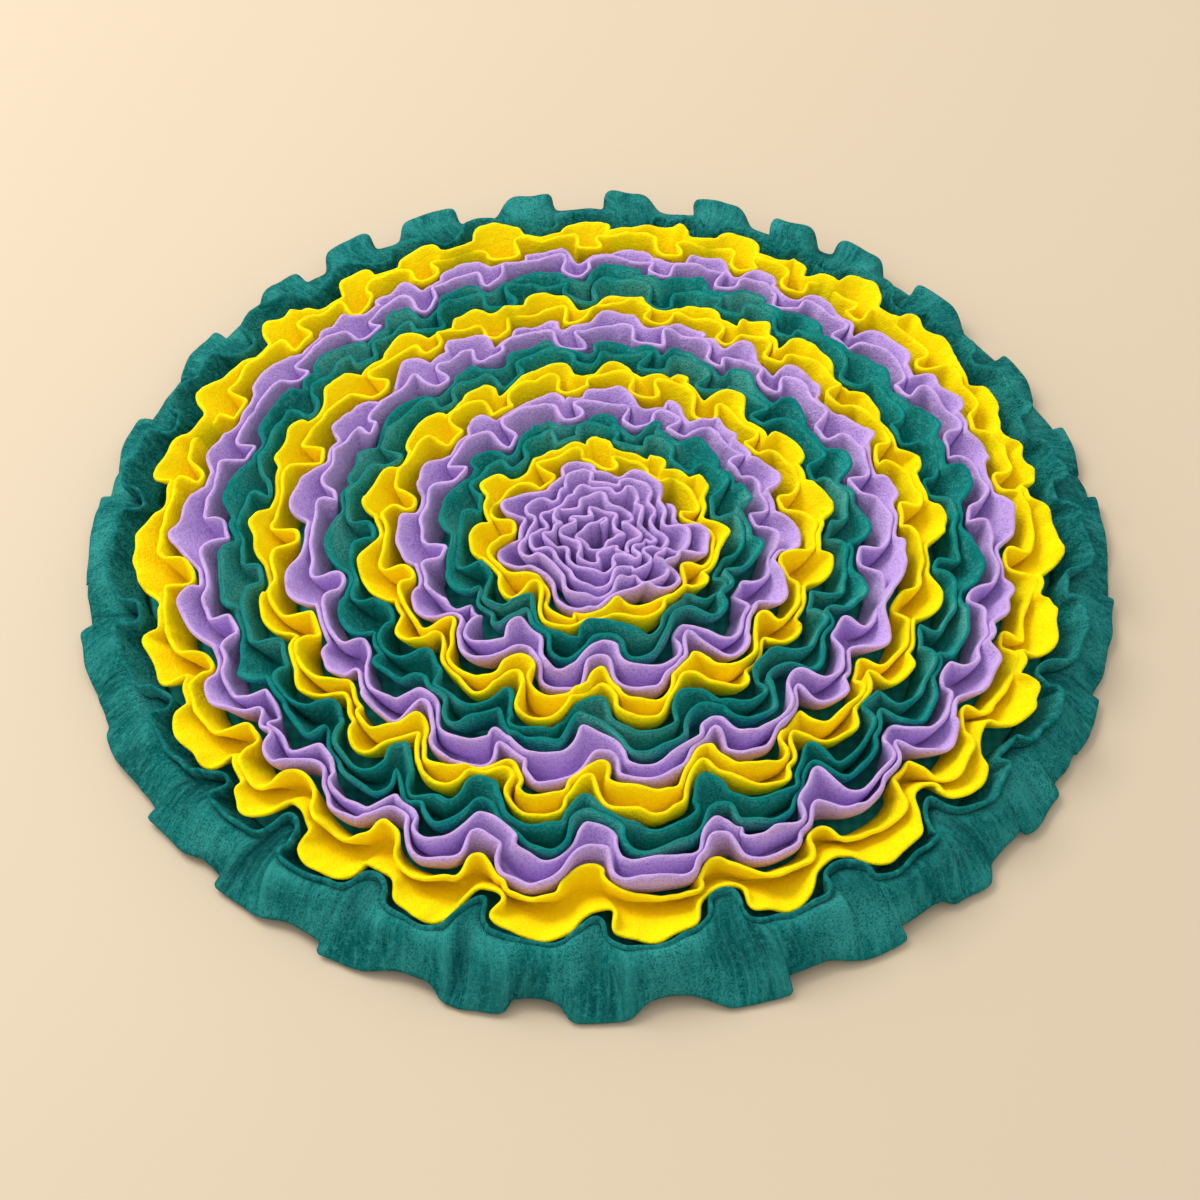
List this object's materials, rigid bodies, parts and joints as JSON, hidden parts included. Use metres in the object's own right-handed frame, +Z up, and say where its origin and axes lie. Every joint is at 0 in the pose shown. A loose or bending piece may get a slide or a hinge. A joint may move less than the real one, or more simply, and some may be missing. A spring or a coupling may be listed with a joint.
{
  "type": "snuffle mat",
  "caption": "Round snuffle mat: gathered purple, yellow and teal fleece strips stand as pleated rings on a base cloth, round a wound centre, inside a flared teal rim.",
  "frame": {"origin": "centre of the mat's bounding box, on the surface it lies on", "axes": "+Z up out of the surface; -Y is the front, where the rim droops to the floor"},
  "size_m": [0.4997, 0.4995, 0.0267],
  "materials": {
    "purple_fleece": "matte fleece",
    "yellow_fleece": "matte fleece",
    "teal_fleece": "matte fleece",
    "base_cloth": "plain matte cloth"
  },
  "bodies": {
    "root": {"base_cloth": "base_cloth", "rosette_purple": "purple_fleece", "ring_02_yellow": "yellow_fleece", "ring_03_teal": "teal_fleece", "ring_04_purple": "purple_fleece", "ring_05_yellow": "yellow_fleece", "ring_06_teal": "teal_fleece", "ring_07_purple": "purple_fleece", "ring_08_yellow": "yellow_fleece", "ring_09_teal": "teal_fleece", "ring_10_purple": "purple_fleece", "ring_11_yellow": "yellow_fleece", "flounce_teal": "teal_fleece"}
  },
  "joints": []
}
